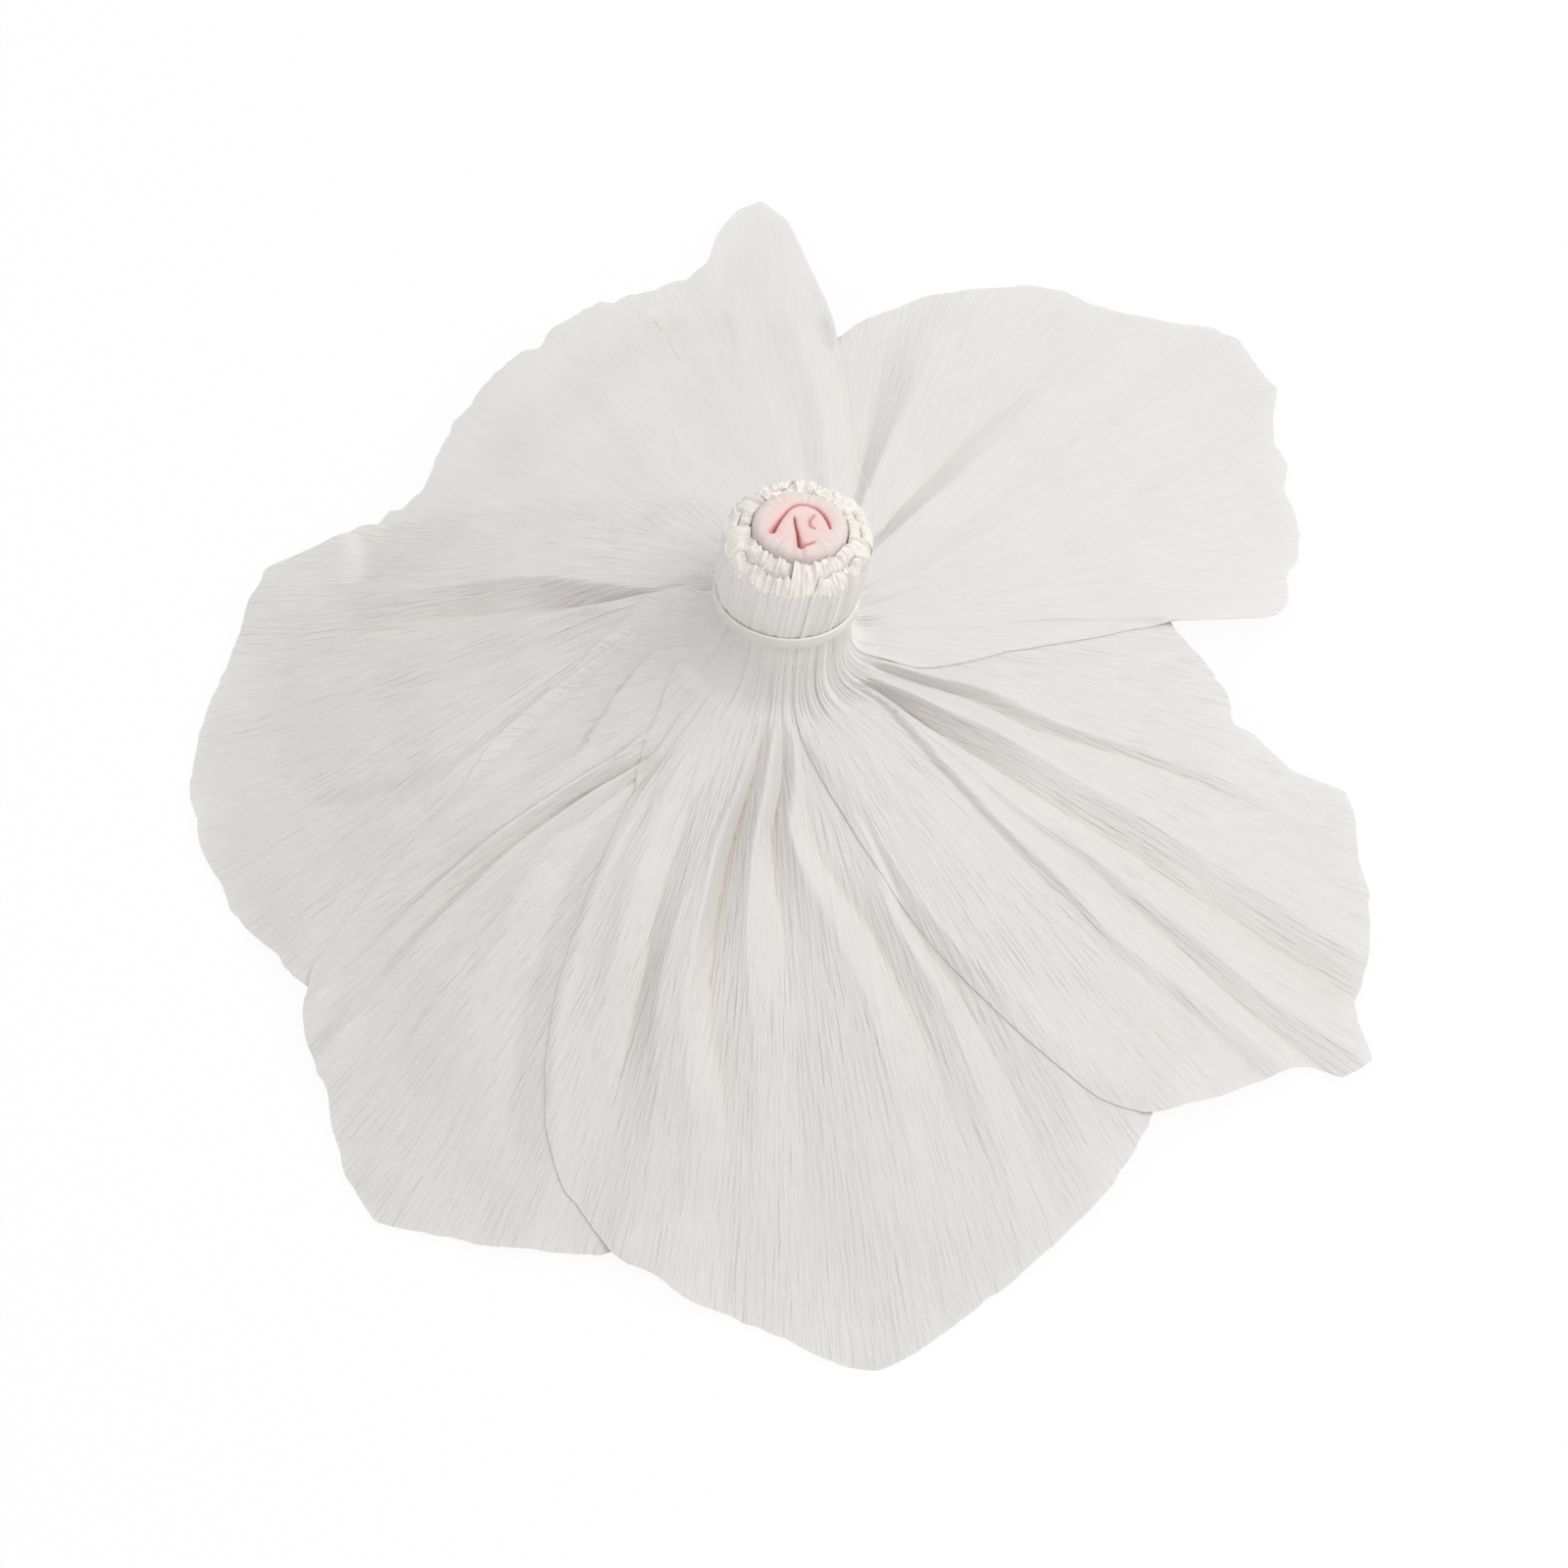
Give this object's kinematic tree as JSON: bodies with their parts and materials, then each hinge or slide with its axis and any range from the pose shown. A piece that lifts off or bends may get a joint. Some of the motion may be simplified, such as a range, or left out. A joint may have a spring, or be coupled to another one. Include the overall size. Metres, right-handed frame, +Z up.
{
  "type": "paper flower",
  "caption": "Crepe paper flower lying face down, its broad white petals gathered into a pleated neck that is bound by a band round a pink rolled centre. Used as a decoration.",
  "frame": {"origin": "on the surface that the flower lies on, under the middle of its outline", "axes": "+Z up, the way the cut neck stands; -Y towards the front petal; +X to the right of someone who faces the front petal"},
  "size_m": [0.2482, 0.2984, 0.0556],
  "materials": {
    "white_crepe": "matte, crinkled along the grain",
    "pink_crepe": "matte, crinkled along the grain",
    "white_band": "smooth, satin"
  },
  "bodies": {
    "root": {"petal_rear": "white_crepe", "petal_left": "white_crepe", "petal_left_front": "white_crepe", "petal_front": "white_crepe", "petal_right": "white_crepe", "petal_right_rear": "white_crepe", "centre_roll": "pink_crepe", "neck_band": "white_band"}
  },
  "joints": []
}
